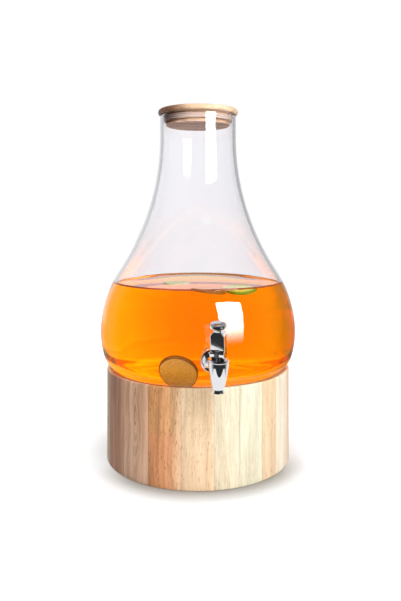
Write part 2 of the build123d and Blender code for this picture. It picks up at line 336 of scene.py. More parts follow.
def jarLine(grown):
    # the jar's outline from the middle of its base to the top of its straight neck: punt dome, corner,
    # side, shoulder and flare arcs that meet in tangents; grown moves the line outwards
    f, n = jarForm, jarSteps
    edge, rise, neck = cornerCentre[0], f["punt"], f["neck"] + grown
    r = np.linspace(0, edge, n["base"])
    dome = (edge**2 + rise**2) / (2 * rise)
    return joined(
        np.stack([r, jarBase - grown + rise - dome + np.sqrt(dome**2 - r**2)], -1),
        arcPoints(cornerCentre, f["corner"] + grown, -90, -f["sweep"], n["corner"]),
        arcPoints(sideCentre, f["side"] + grown, -f["sweep"], 0, n["side"]),
        arcPoints(shoulderCentre, f["shoulder"] + grown, 0, flareTurn, n["shoulder"]),
        arcPoints(flareCentre, flareRadius - grown, 180 + flareTurn, 180, n["flare"]),
        straight((neck, neckFoot), (neck, jarRim - f["lip"]), n["neck"]),
    )


def shoulderReach(grown, height):
    # radius of the shoulder arc at a height
    return shoulderCentre[0] + np.sqrt((jarForm["shoulder"] + grown)**2 - (height - bellyHeight)**2)


# the tap's place on the side arc, and the drum that cuts its hole
tapPlace = {"drop": 10.4, "reach": 38.0, "hole": 6.6, "drumEnds": (30.0, 50.0), "drumSides": 48}


def tapPoint(points):
    # points in the tap's own frame, millimetres, set square to the undercut wall
    lean = np.arcsin(tapPlace["drop"] / jarForm["side"])
    reach = jarForm["side"] + tapPlace["reach"]
    p = np.asarray(points, float)
    y = p[..., 1] * np.cos(lean) - p[..., 2] * np.sin(lean) - (sideCentre[0] + reach * np.cos(lean))
    z = p[..., 1] * np.sin(lean) + p[..., 2] * np.cos(lean) + sideCentre[1] - reach * np.sin(lean)
    return np.stack([p[..., 0], y, z], -1) * mm


# glass
glassLook = {
    "segments": 192, "ior": 1.5, "tint": (0.90, 0.96, 0.95, 1), "absorb": 7.0,
    "rippleScale": (30, 30, 9), "ripple": 0.02, "rippleDepth": 0.004,
}


def makeGlassMaterial():
    f = glassLook
    material, tree, shader = newClear("clearGlass", f["ior"])
    # drawn ripples: noise that is stretched up the jar
    ripple = noise(tree, vectorMaths(tree, "MULTIPLY", objectPlace(tree), f["rippleScale"])[0], 1.0, 1.0)["Fac"]
    addBump(tree, shader, ripple, f["ripple"], f["rippleDepth"])
    depth = addNode(tree, "ShaderNodeVolumeAbsorption", None, {"Color": f["tint"], "Density": f["absorb"]})
    feed(tree, tree.nodes["Material Output"], {"Volume": depth.outputs[0]})
    return material


def makeJar():
    wall, lip, neck = jarForm["wall"], jarForm["lip"], jarForm["neck"]
    rim = joined(arcPoints((neck - lip, jarRim - lip), lip, 0, 90, jarSteps["lip"]),
                 arcPoints((neck - wall + lip, jarRim - lip), lip, 90, 180, jarSteps["lip"]))
    points, faces = turned(joined(jarLine(0.0), rim, jarLine(-wall)[::-1]) * mm, glassLook["segments"])
    jar = addPiece("jar_glass", points, faces, makeGlassMaterial(), "jar", ["glass_jar"])
    # the drilled hole for the tap's shank, cut by a drum along the shank's axis
    hole, sides = tapPlace["hole"], tapPlace["drumSides"]
    ring = np.linspace(0, 2 * np.pi, sides, endpoint=False)
    ends = [np.stack([hole * np.cos(ring), np.full(sides, y), hole * np.sin(ring)], -1) for y in tapPlace["drumEnds"]]
    drum = gridFaces(2, sides, True).tolist() + [list(range(sides)), list(range(2 * sides - 1, sides - 1, -1))]
    cutter = bpy.data.meshes.new("shankDrum")
    cutter.from_pydata(tapPoint(np.vstack(ends)).tolist(), [], drum)
    cutterPiece = placeObject("shankDrum", cutter)
    cut = jar.modifiers.new("tapHole", "BOOLEAN")
    cut.object, cut.operation, cut.solver = cutterPiece, "DIFFERENCE", "EXACT"
    bpy.context.view_layer.update()
    done = bpy.data.meshes.new_from_object(jar.evaluated_get(bpy.context.evaluated_depsgraph_get()))
    jar.modifiers.clear()
    jar.data = done
    bpy.data.objects.remove(cutterPiece)
    jar.visible_shadow = False
    print("glass faces", len(done.polygons))


makeJar()

# drink: level is its height, and rings are the distances from the wall of the rings of its surface
drinkLook = {
    "level": 189.5, "overlap": 0.4, "meniscus": 0.9, "creep": 2.0, "join": 0.3, "segments": 160, "ior": 1.34,
    "rings": (0.0, 0.25, 0.6, 1.0, 1.6, 2.4, 3.4, 5.0, 7.0, 10.0, 15.0, 24.0, 40.0, 60.0),
    "clear": (0.9985, 0.872, 0.0, 1), "density": 62.0, "glow": (0.8, 8.0, 0.0, 1), "walls": 12.5,
    "swirlScale": 45.0, "swirl": 0.03, "swirlDepth": 0.004,
}


def makeDrinkMaterial():
    f = drinkLook
    material, tree, shader = newClear("orangeDrink", f["ior"])
    addBump(tree, shader, noise(tree, objectPlace(tree), f["swirlScale"], 2.0)["Fac"], f["swirl"], f["swirlDepth"])
    depth = addNode(tree, "ShaderNodeVolumeAbsorption", None, {"Color": f["clear"], "Density": f["density"]})
    # painted light: rays that ran round inside the drink, past many walls, get a glow added
    ways = addNode(tree, "ShaderNodeLightPath").outputs["Ray Depth"]
    cloud = addNode(tree, "ShaderNodeEmission", None, {
        "Color": f["glow"], "Strength": maths(tree, "GREATER_THAN", ways, f["walls"])})
    both = addNode(tree, "ShaderNodeAddShader", None, {0: depth.outputs[0], 1: cloud.outputs[0]})
    feed(tree, tree.nodes["Material Output"], {"Volume": both.outputs[0]})
    return material


def makeDrink():
    f = drinkLook
    grown = -jarForm["wall"] + f["overlap"]
    line, top = jarLine(grown), f["level"] + f["meniscus"]
    # the surface: level in the middle, curling up the wall as exp(-distance / creep)
    r = shoulderReach(grown, top) - np.array(f["rings"])
    height = f["level"] + f["meniscus"] * np.exp(-np.array(f["rings"]) / f["creep"])
    surface = np.vstack([np.stack([r, height], -1), [[0, f["level"]]]])
    points, faces = turned(joined(line[line[:, 1] < top - f["join"]], surface) * mm, f["segments"])
    addPiece("drink", points, faces, makeDrinkMaterial(), "jar").visible_shadow = False


# a painted dark line where the surface meets the glass, standing in for the shade at the meniscus, and painted paler
# round the back, where the light comes from
edgeLine = {
    "below": 0.3, "above": 1.3, "gap": 0.05, "thick": 0.3, "rows": 5, "cloudScale": 120.0,
    "tones": [(0.35, (0.30, 0.055, 0.010)), (0.65, (0.44, 0.11, 0.025))], "back": (0.58, 0.40, 0.30, 1),
    "backGain": 20.0, "backStart": 0.6, "rough": 0.5,
}


def makeEdgeLine():
    f = edgeLine
    # a thin band that follows the inside of the shoulder arc, closed round its section
    z = np.linspace(drinkLook["level"] - f["below"], drinkLook["level"] + f["above"], f["rows"])
    r = shoulderReach(-jarForm["wall"], z) - f["gap"]
    section = np.vstack([np.stack([r, z], -1), np.stack([r - f["thick"], z], -1)[::-1]]) * mm
    ring = np.linspace(0, 2 * np.pi, drinkLook["segments"], endpoint=False)
    points = carried(section[:, :1], section[:, 1:], ring).reshape(-1, 3)
    faces = gridFaces(len(section), len(ring), True, True).tolist()
    material, tree, shader = newMaterial("drinkEdge")
    spot = objectPlace(tree)
    cloud = noise(tree, spot, f["cloudScale"], 2.0)["Fac"]
    behind = clamped(tree, timesPlus(tree, parts(tree, spot)[1], f["backGain"], f["backStart"]))
    tone = mixColour(tree, "MIX", behind, ramp(tree, cloud, f["tones"]), f["back"])
    feed(tree, shader, {"Base Color": tone, "Roughness": f["rough"]})
    addPiece("drink_edge", points, faces, material, "jar").visible_shadow = False


makeDrink()
makeEdgeLine()

# fruit in the drink: discs with a rind, a pale pith and flesh in segments
# per slice: place of its middle, way its face looks, radius, thickness, flesh, rind, strength of its segments
fruitSlices = {
    "low_slice": ((-28.8, -83.0, 113.5), (-0.27, -0.76, -0.59), 18.6, 4.6, (1.0, 0.48, 0.14), (0.30, 0.09, 0.015), 0.0),
    "orange_slice": ((0.5, -72.0, 186.2), (0.13, 0.10, 0.98), 17.0, 3.6, (0.72, 0.27, 0.03), (0.34, 0.13, 0.02), 0.8),
    "lime_slice": ((33.0, -59.0, 185.8), (-0.06, -0.16, 0.98), 16.4, 3.4, (0.66, 0.66, 0.14), (0.24, 0.30, 0.03), 1.0),
    "back_slice": ((-24.7, -13.0, 187.9), (0.04, -0.05, 1.0), 14.5, 4.2, (0.78, 0.78, 0.42), (0.40, 0.50, 0.14), 1.0),
    "base_slice": ((29.0, -57.0, 99.5), (0.03, -0.02, 1.0), 12.0, 4.0, (0.55, 0.20, 0.05), (0.40, 0.10, 0.02), 0.5),
}
# membranes and pith lie at shares of the radius, and their tapers are how fast they fade
fruitLook = {
    "soft": 0.9, "rows": 14, "softRows": 6, "sides": 72, "spokes": 5.0, "spokeTaper": 5.0, "spokeShare": 0.35,
    "spokeTone": (0.85, 0.72, 0.45, 1), "pithAt": 0.87, "pithTaper": 22.0, "pithShare": 0.45,
    "pithTone": (0.85, 0.75, 0.5, 1), "rindAt": 0.93, "rindTaper": 40.0, "pulpScale": 9.0,
    "pulpTones": [(0.3, 0.78), (0.7, 1.1)], "rough": (0.2, 0.3), "bump": (0.3, 0.0006),
}


def makeFruitMaterial():
    f = fruitLook
    material, tree, shader = newMaterial("fruitSlice")
    spot, flesh, rind = mark(tree, "cut")["Vector"], mark(tree, "flesh"), mark(tree, "rind")["Color"]
    x, y, _ = parts(tree, spot)
    away, turn = lengthOf(tree, x, y), maths(tree, "ARCTAN2", y, x)
    # membranes: thin pale spokes where a five-fold sine crosses zero, wider near the middle
    spoke = maths(tree, "ABSOLUTE", maths(tree, "SINE", times(tree, turn, f["spokes"])))
    spoke = clamped(tree, minus(tree, 1.0, times(tree, spoke, away, f["spokeTaper"])))
    pulp = noise(tree, spot, f["pulpScale"], 3.0)["Fac"]
    colour = mixColour(tree, "MULTIPLY", 1.0, flesh["Color"], ramp(tree, pulp, f["pulpTones"]))
    colour = mixColour(tree, "MIX", times(tree, spoke, flesh["Alpha"], f["spokeShare"]), colour, f["spokeTone"])
    pith = times(tree, maths(tree, "ABSOLUTE", minus(tree, away, f["pithAt"])), f["pithTaper"])
    pith = clamped(tree, minus(tree, 1.0, pith))
    colour = mixColour(tree, "MIX", times(tree, pith, flesh["Alpha"], f["pithShare"]), colour, f["pithTone"])
    skin = clamped(tree, times(tree, minus(tree, away, f["rindAt"]), f["rindTaper"]))
    feed(tree, shader, {
        "Base Color": mixColour(tree, "MIX", skin, colour, rind), "Roughness": timesPlus(tree, pulp, *f["rough"])})
    addBump(tree, shader, pulp, *f["bump"])
    return material


def makeSlices():
    material = makeFruitMaterial()
    soft, rows, softRows = fruitLook["soft"], fruitLook["rows"], fruitLook["softRows"]
    for name, (place, way, radius, thick, flesh, rind, segments) in fruitSlices.items():
        half, flat = thick / 2, radius - soft
        line = joined(
            straight((0, -half), (flat, -half), rows),
            arcPoints((flat, -half + soft), soft, -90, 0, softRows),
            arcPoints((flat, half - soft), soft, 0, 90, softRows),
            straight((flat, half), (0, half), rows))
        points, faces = turned(line, fruitLook["sides"])
        turn = np.array(Vector(way).normalized().to_track_quat("Z", "Y").to_matrix())
        same = np.ones((len(points), 1))
        marks = {
            "cut": ("FLOAT_VECTOR", points / radius),
            "flesh": ("FLOAT_COLOR", same * [*flesh, segments]),
            "rind": ("FLOAT_COLOR", same * [*rind, 1.0]),
        }
        addPiece(name, (points @ turn.T + np.array(place)) * mm, faces, material, "jar", marks=marks)


makeSlices()
print("jar, drink and fruit made")

# stand: one round of widths is repeated; runOn is how far a stave takes on the next one's tone
standForm = {
    "radius": 100.0, "height": 98.0, "thickness": 10.0, "seatWidth": 3.6, "seatAngle": 33.0, "edge": 1.2, "soft": 0.6,
    "widths": (19.5, 19.8, 18.3, 14.3, 16.3, 12.7, 19.1), "rounds": 3, "firstSeam": -145.8,
    "groove": 0.06, "grooveReach": 0.5, "glueReach": 0.35, "columns": 26, "crowd": 0.985,
    "runOn": {2: 0.8, 21: 0.5}, "hidden": range(9, 21), "hiddenWarmth": (1.0, 0.93, 0.84), "vary": 0.05,
}
# per stave of one round: upper tone, lower tone, height of the change, pores, bands, knot figure
staveTones = [
    ((0.93, 0.55, 0.35), (0.90, 0.55, 0.36), 40, 0.35, 0.40, 1.0),
    ((0.88, 0.43, 0.18), (0.94, 0.42, 0.19), 52, 1.40, 0.42, 0.0),
    ((0.97, 0.71, 0.45), (0.98, 0.69, 0.43), 30, 0.80, 0.24, 0.0),
    ((0.89, 0.77, 0.55), (0.92, 0.79, 0.57), 30, 0.45, 0.22, 0.0),
    ((0.84, 0.78, 0.58), (0.84, 0.76, 0.56), 30, 0.20, 0.18, 0.0),
    ((0.86, 0.62, 0.39), (0.86, 0.63, 0.40), 40, 0.45, 0.22, 0.0),
    ((0.97, 0.83, 0.64), (0.97, 0.82, 0.63), 40, 0.25, 0.15, 0.2),
]
# the darker stave at the left of the photograph
staveOwn = {21: ((0.63, 0.30, 0.18), (0.65, 0.30, 0.17), 50, 0.35, 0.42, 0.3)}
# the eye of the knot is across and up the stave, in metres
staveLook = {
    "raggedScale": 160.0, "ragged": 0.03, "changeGain": 120.0, "eye": (0.001, 0.066), "eyeStretch": 6.5,
    "rings": 420.0, "ringWaver": 9.0, "knotTaper": 14.0, "knotDepth": 0.22, "glue": -0.2,
    # the seat keys paint shade on the seat and the bore under the jar
    "seatFrom": 0.0982, "seatGain": 700.0, "seatShadeTone": (0.52, 0.28, 0.18, 1), "bump": 0.18,
}


def makeStaveMaterial():
    f = staveLook
    material, tree, shader = newMaterial("staveWood")
    along = mark(tree, "grain")["Vector"]
    seed, pores, bands = parts(tree, mark(tree, "marks")["Vector"])
    change, knot, glue = parts(tree, mark(tree, "figure")["Vector"])
    across, out, up = parts(tree, along)
    ragged = noise(tree, along, f["raggedScale"], 2.0)["Fac"]
    rise = plus(tree, minus(tree, up, change), times(tree, minus(tree, ragged, 0.5), f["ragged"]))
    share = clamped(tree, timesPlus(tree, rise, f["changeGain"], 0.5))
    tone = mixColour(tree, "MIX", share, mark(tree, "lowTone")["Color"], mark(tree, "tone")["Color"])
    # the knot: rings that stretch up and down the stave from its eye
    eyeX = times(tree, minus(tree, across, f["eye"][0]), f["eyeStretch"])
    away = lengthOf(tree, eyeX, minus(tree, up, f["eye"][1]))
    rings = maths(tree, "SINE", timesPlus(tree, away, f["rings"], times(tree, ragged, f["ringWaver"])))
    fade = clamped(tree, minus(tree, 1.0, times(tree, away, f["knotTaper"])))
    depth = times(tree, knot, f["knotDepth"])
    knotAndLeftShade = minus(tree, 1.0, plus(tree, times(tree, fade, fade, depth), times(tree, rings, fade, depth)))
    tone = mixColour(tree, "MULTIPLY", 1.0, tone, grey(tree, knotAndLeftShade))
    wood = placeGrain(tree, {"Along": along, "Tone": tone, "Seed": seed, "Pores": pores, "Bands": bands})
    # glue lines: a thin darker line where two staves meet
    line = grey(tree, timesPlus(tree, glue, f["glue"], 1.0))
    colour = mixColour(tree, "MULTIPLY", 1.0, wood["Color"], line)
    # painted shade: the seat and the bore, under the jar, are darkened and reddened, a painted shadow of the jar with a
    # painted orange reflection of the drink
    seatShade = clamped(tree, times(tree, minus(tree, f["seatFrom"], out), f["seatGain"]))
    colour = mixColour(tree, "MIX", seatShade, colour, mixColour(tree, "MULTIPLY", 1.0, colour, f["seatShadeTone"]))
    finishWood(tree, shader, colour, wood, f["bump"])
    return material


def staveSection():
    # closed section of radius and height, round from the foot of the bore, with eased corners at the seat
    s = standForm
    radius, height, edge, soft = s["radius"], s["height"], s["edge"], s["soft"]
    bore, slope = radius - s["thickness"], np.tan(np.radians(s["seatAngle"]))
    seat, sill = bore + s["seatWidth"], height - s["seatWidth"] * slope
    return joined(
        arcPoints((bore + soft, soft), soft, 180, 270, 5),
        straight((bore + 1.5, 0), (radius - edge, 0), 6),
        arcPoints((radius - edge, edge), edge, -90, 0, 7),
        straight((radius, edge), (radius, height - edge), 30),
        arcPoints((radius - edge, height - edge), edge, 0, 90, 7),
        straight((radius - edge - 0.6, height), (seat + 0.5, height), 5),
        [[seat + 0.1, height - 0.05], [seat - 0.2, height - 0.25]],
        straight((seat - 0.6, height - 0.6 * slope), (bore + 0.4, sill + 0.4 * slope), 5),
        [[bore + 0.12, sill - 0.1], [bore, sill - 0.45]],
        straight((bore, sill - 2), (bore, soft), 14),
    )[:-1]


def makeStave(number, kind, turn, start, end, section, material):
    s = standForm
    rows, columns = len(section), s["columns"]
    size = rows * columns
    # columns crowd towards the two seams, where the outer face is eased by a hair
    crowd = np.pi / 2 * s["crowd"]
    t = np.sin(np.linspace(-1, 1, columns) * crowd) / np.sin(crowd)
    middle, half = (start + end) / 2, (end - start) / 2
    angle, gap = middle + t * half, (1 - np.abs(t)) * half * s["radius"]
    ease = s["groove"] * np.exp(-(gap / s["grooveReach"])**2 * 2)
    out = np.clip((section[:, :1] - s["radius"]) / s["thickness"] + 1, 0, 1)
    radius = section[:, :1] - ease * np.where(out > 0.5, 1.0, -1.0) * (np.abs(out - 0.5) > 0.4)
    points = carried(radius, section[:, 1:], angle).reshape(-1, 3)
    # the two glued ends have points of their own, so the outer face shades smoothly up to the seam
    first = np.arange(rows) * columns
    pick = np.r_[np.arange(size), first, first + columns - 1]
    caps = [np.arange(size, size + rows).tolist(), np.arange(size + rows, size + 2 * rows)[::-1].tolist()]
    faces = gridFaces(rows, columns, False, True).tolist() + caps

    def picked(values):
        return np.broadcast_to(values, (rows, columns)).ravel()[pick]

    upper, lower, change, pores, bands, knot = staveOwn.get(number, staveTones[kind])
    grain = [picked(values * mm) for values in ((angle - middle) * s["radius"], radius, section[:, 1:])]
    same = np.ones((len(pick), 1))
    # tones run on into the next stave's where runOn says so, and the staves round the back vary and are warmer
    run = picked(np.clip(t, 0, 1)**1.5 * s["runOn"].get(number, 0.0))[:, None]
    vary = 1 + s["vary"] * np.sin(turn * 2.1 + kind * 1.7) * (turn > 0)
    warmth = vary * np.array(s["hiddenWarmth"] if number in s["hidden"] else (1.0, 1.0, 1.0))
    after = staveTones[(kind + 1) % len(staveTones)]
    upper, lower = [((1 - run) * np.array(own) + run * np.array(other)) * warmth
                    for own, other in zip((upper, lower), after[:2])]
    marks = {
        "grain": ("FLOAT_VECTOR", np.stack(grain, -1)),
        "tone": ("FLOAT_COLOR", np.c_[upper, same]),
        "lowTone": ("FLOAT_COLOR", np.c_[lower, same]),
        "marks": ("FLOAT_VECTOR", same * [number * 1.37, pores, bands]),
        "figure": ("FLOAT_VECTOR", np.c_[same * [change * mm, knot], picked(np.exp(-(gap / s["glueReach"])**2))]),
    }
    name = f"stave_{number:02d}"
    addPiece("wood_" + name, points[pick] * mm, faces, material, "stand", [name], marks)


def makeStaves():
    s = standForm
    section, material = staveSection(), makeStaveMaterial()
    share = 360.0 / (sum(s["widths"]) * s["rounds"])
    seam, number = s["firstSeam"], 0
    for turn in range(s["rounds"]):
        for kind, width in enumerate(s["widths"]):
            number += 1
            after = seam + width * share
            makeStave(number, kind, turn, np.radians(seam), np.radians(after), section, material)
            seam = after
    print("staves", number)


makeStaves()

# silicone: painted shade darkens the left of the lid's band, as on the lid
siliconeLook = {
    "cloudScale": 90.0, "tones": [(0.3, (0.78, 0.61, 0.53)), (0.7, (0.90, 0.72, 0.64))],
    "shadeFrom": -0.014, "shadeGain": 45.0, "stainAndShade": (0.26, 0.16, 0.13, 1), "rough": (0.2, 0.35),
    "depth": 0.25, "depthRadius": (0.004, 0.003, 0.0025),
}


def makeSiliconeMaterial():
    f = siliconeLook
    material, tree, shader = newMaterial("siliconeBand")
    spot = objectPlace(tree)
    cloud = noise(tree, spot, f["cloudScale"], 3.0)["Fac"]
    # painted shade on the band's left side, turned away from the key light
    stainAndShade = clamped(tree, times(tree, minus(tree, f["shadeFrom"], parts(tree, spot)[0]), f["shadeGain"]))
    feed(tree, shader, {
        "Base Color": mixColour(tree, "MIX", stainAndShade, ramp(tree, cloud, f["tones"]), f["stainAndShade"]),
        "Roughness": timesPlus(tree, cloud, *f["rough"]),
        "Subsurface Weight": f["depth"], "Subsurface Radius": f["depthRadius"]})
    return material


siliconeMaterial = makeSiliconeMaterial()

# lid
lidForm = {
    "overhang": 2.0, "thickness": 6.0, "edge": 2.4, "gap": 0.2, "plugDepth": 12.0, "plugGap": 3.2, "plugEdge": 0.8,
    "grooveTop": 2.0, "grooveWidth": 6.0, "grooveDepth": 1.6, "grooveEase": 0.15, "segments": 128,
    "bandGap": 0.05, "bandFit": 0.3, "rib": 0.9, "ribs": 3, "ribRows": 40,
}
# the darker colour for the lid's left side is painted shade, and footTone the cut underside of the plug
lidLook = {
    "turn": (0, np.pi / 2, np.radians(8)), "tone": (0.90, 0.60, 0.38, 1),
    "knotAndLeftShade": (0.34, 0.15, 0.08, 1), "leftShadeFrom": -0.012, "leftShadeGain": 45.0,
    "footTone": (0.98, 0.66, 0.54, 1), "footRise": 1.2, "footGain": 2500.0,
    "grain": {"Seed": 3.1, "Pores": 0.45, "Bands": 0.42}, "bump": 0.2,
}


def makeLidMaterial(foot):
    f = lidLook
    material, tree, shader = newMaterial("lidWood")
    spot = objectPlace(tree)
    side, _, height = parts(tree, spot)
    turn = addNode(tree, "ShaderNodeMapping", None, {"Vector": spot, "Rotation": f["turn"]}).outputs[0]
    under = minus(tree, (foot + f["footRise"]) * mm, height)
    under = clamped(tree, timesPlus(tree, under, f["footGain"], 0.5))
    # painted shade: the lid's left side, turned away from the key light, is darkened
    knotAndLeftShade = clamped(tree, times(tree, minus(tree, f["leftShadeFrom"], side), f["leftShadeGain"]))
    tone = mixColour(tree, "MIX", under, mixColour(tree, "MIX", knotAndLeftShade, f["tone"], f["knotAndLeftShade"]), f["footTone"])
    wood = placeGrain(tree, {"Along": turn, "Tone": tone, **f["grain"]})
    finishWood(tree, shader, wood["Color"], wood, f["bump"])
    return material


def makeLid():
    f = lidForm
    base, bore = jarRim + f["gap"], jarForm["neck"] - jarForm["wall"]
    disc, plug = jarForm["neck"] + f["overhang"], bore - f["plugGap"]
    top, foot = base + f["thickness"], base - f["plugDepth"]
    floor, high = plug - f["grooveDepth"], base - f["grooveTop"]
    low = high - f["grooveWidth"]
    e, p, g = f["edge"], f["plugEdge"], f["grooveEase"]
    line = joined(
        straight((0, foot), (plug - p, foot), 16),
        arcPoints((plug - p, foot + p), p, -90, 0, 6),
        [[plug, low - g], [plug - g, low], [floor, low], [floor, high], [plug - g, high], [plug, high + g]],
        [[plug, base]],
        straight((plug + 0.3, base), (disc - e, base), 8),
        arcPoints((disc - e, base + e), e, -90, 0, 9), arcPoints((disc - e, top - e), e, 0, 90, 9),
        straight((disc - e - 1, top), (0, top), 24),
    )
    points, faces = turned(line * mm, f["segments"])
    addPiece("lid_wood", points, faces, makeLidMaterial(foot), "lid", ["lid"])
    # silicone band: ribs of half-sine section between the groove's floor and the neck
    inside, foot, head = floor + f["bandGap"], low + f["bandGap"], high - f["bandGap"]
    z = np.linspace(foot, head, f["ribRows"])
    wave = np.abs(np.sin((z - z[0]) / (z[-1] - z[0]) * np.pi * f["ribs"]))
    ribs = np.stack([bore - f["bandFit"] - f["rib"] + f["rib"] * wave, z], -1)
    band = joined([[inside, head], [inside, foot]], ribs, [[inside, head]])
    points, faces = turned(band * mm, f["segments"])
    addPiece("lid_band", points, faces, siliconeMaterial, "lid", ["lid_seal"])


makeLid()
print("lid made")

# tap: the CAD nodes with their finishes
# per metal: tone, least roughness, how much haze adds, scale of the haze
metalLook = {
    "chrome": ((0.88, 0.88, 0.90), 0.02, 0.05, 220.0),
    "brushedSteel": ((0.62, 0.62, 0.63), 0.18, 0.2, 500.0),
}
nutLook = {
    "speckScale": 900.0, "tones": [(0.3, (0.10, 0.10, 0.105)), (0.7, (0.13, 0.13, 0.135))], "rough": (0.15, 0.4),
    "bump": (0.1, 0.0003),
}


def makeMetal(name):
    tone, least, hazed, scale = metalLook[name]
    material, tree, shader = newMaterial(name)
    haze = noise(tree, objectPlace(tree), scale, 4.0)["Fac"]
    feed(tree, shader, {
        "Metallic": 1.0, "Base Color": ramp(tree, haze, [(0.3, tuple(0.96 * t for t in tone)), (0.7, tone)]),
        "Roughness": timesPlus(tree, haze, hazed, least)})
    return material


def makeNutMaterial():
    f = nutLook
    material, tree, shader = newMaterial("nutPlastic")
    speck = noise(tree, objectPlace(tree), f["speckScale"], 2.0)["Fac"]
    feed(tree, shader, {
        "Base Color": ramp(tree, speck, f["tones"]), "Roughness": timesPlus(tree, speck, *f["rough"])})
    addBump(tree, shader, speck, *f["bump"])
    return material


def dressNodes(material, *names):
    for name in names:
        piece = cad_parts[name]
        piece.data.materials.clear()
        piece.data.materials.append(material)


steel, nutPlastic = makeMetal("brushedSteel"), makeNutMaterial()
dressNodes(makeMetal("chrome"), "tap_body", "bonnet", "lever", "pivot_pin")
dressNodes(steel, "valve_stem")
dressNodes(siliconeMaterial, "outer_washer", "inner_washer", "seat_seal")
dressNodes(nutPlastic, "stem_ring", "lock_nut")
# spring: a round wire along a helix, built at one length, though the real one shortens towards the bonnet as the stem
# rises
springForm = {
    "radius": 4.1, "wire": 0.8, "turns": 4.5, "foot": -0.95, "top": 8.0, "gap": 0.05, "stroke": 2.967,
    "steps": 216, "round": 16,
}


def makeSpring():
    f = springForm
    steps, sides, thick = f["steps"], f["round"], f["wire"] / 2
    low, high = f["foot"] + f["gap"] + thick, f["top"] - f["gap"] - thick
    t = np.linspace(0, 1, steps)[:, None]
    angle = t * f["turns"] * 2 * np.pi
    outward = np.concatenate([np.cos(angle), np.sin(angle), 0 * t], -1)
    line = f["radius"] * outward + np.concatenate([0 * t, 0 * t, low + (high - low) * t], -1)
    slope = (high - low) / (f["turns"] * 2 * np.pi * f["radius"])
    along = np.concatenate([-np.sin(angle), np.cos(angle), 0 * t + slope], -1) / np.hypot(1, slope)
    across = np.cross(along, outward)
    turn = roundAngles(sides)[:, None]
    tube = line[:, None] + thick * (np.cos(turn) * outward[:, None] + np.sin(turn) * across[:, None])
    last = (steps - 1) * sides
    caps = [list(range(sides))[::-1], list(range(last, last + sides))]
    faces = gridFaces(steps, sides, True).tolist() + caps
    spring = addPiece("spring_wire", tapPoint(tube.reshape(-1, 3)), faces, steel, "jar", ["valve_spring"])
    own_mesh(spring)


makeSpring()
print("tap dressed")

# camera: level, fitted to the photograph's horizon and widths; lengths in metres, the rest in pixels
view = {
    "azimuth": -7.2, "distance": 0.6829, "height": 0.25965, "focal": 612.9, "longSide": 601, "width": 401,
    "horizon": 218.7, "axis": 198.0, "sensor": 36.0,
}


def standingPlace(azimuth, distance, height):
    a = np.radians(azimuth)
    return (np.sin(a) * distance, -np.cos(a) * distance, height)


camera = placeObject("camera", bpy.data.cameras.new("camera"))
camera.location = standingPlace(view["azimuth"], view["distance"], view["height"])
camera.rotation_euler = (np.pi / 2, 0, np.radians(view["azimuth"]))
camera.data.sensor_width = view["sensor"]
camera.data.lens = view["focal"] / view["longSide"] * view["sensor"]
camera.data.shift_y = (view["horizon"] - view["longSide"] / 2) / view["longSide"]
camera.data.shift_x = (view["width"] / 2 - view["axis"]) / view["longSide"]
camera.data.clip_start = 0.01
bpy.context.scene.camera = camera

# per lamp: azimuth, elevation, distance, width, height, level
lamps = {
    "keyLamp": (42, 16, 1.3, 0.8, 0.85, 0.50),
    "frontLamp": (8, 32, 1.4, 0.7, 0.7, 0.66),
    "backLamp": (200, 25, 1.4, 0.9, 0.9, 0.40),
    "topLamp": (0, 88, 1.5, 1.3, 1.3, 0.14),
}
# the softbox, as its reflections in the neck and the bowl place it; the paper before the stand; and the paper in
# the ring under the jar. Corners are azimuth, distance and height; then the strength, the share of the height
# over which the card fades in, and the shares that clear glass and chrome show
cards = {
    "keyCard": ([(17.5, 0.96, -0.02), (42.0, 1.10, -0.02), (46.8, 1.13, 0.74), (14.5, 0.95, 0.74)],
                22.0, 0.7, 1.0, 0.03),
    "paperCard": ([(-84, 0.20, 0.001), (84, 0.20, 0.001), (35, 0.328, 0.001), (-35, 0.328, 0.001)],
                  0.95, 0.01, 0.0, 1.0),
    "ringCard": ([(-135, 0.12, 0.001), (-45, 0.12, 0.001), (45, 0.12, 0.001), (135, 0.12, 0.001)],
                 0.8, 0.001, 1.0, 1.0),
}
# rays that crossed more walls than this came through the drink, and what they show of the cards
drinkRay = {"walls": 4.5, "cardShare": -0.65}
lampTarget = 0.15


def addLamp(name, azimuth, elevation, distance, wide, tall, level):
    lamp = bpy.data.lights.new(name, "AREA")
    lamp.shape, lamp.size, lamp.size_y = "RECTANGLE", wide, tall
    # level is the light that a facing diffuse surface returns: radiance * area / distance squared / pi
    lamp.energy = level * np.pi * distance**2 * np.pi
    lamp.specular_factor = 0.0
    piece = placeObject(name, lamp)
    e = np.radians(elevation)
    piece.location = standingPlace(azimuth, distance * np.cos(e), lampTarget + distance * np.sin(e))
    piece.rotation_mode = "QUATERNION"
    piece.rotation_quaternion = (Vector((0, 0, lampTarget)) - piece.location).to_track_quat("-Z", "Y")
    piece.visible_glossy = piece.visible_transmission = piece.visible_camera = False


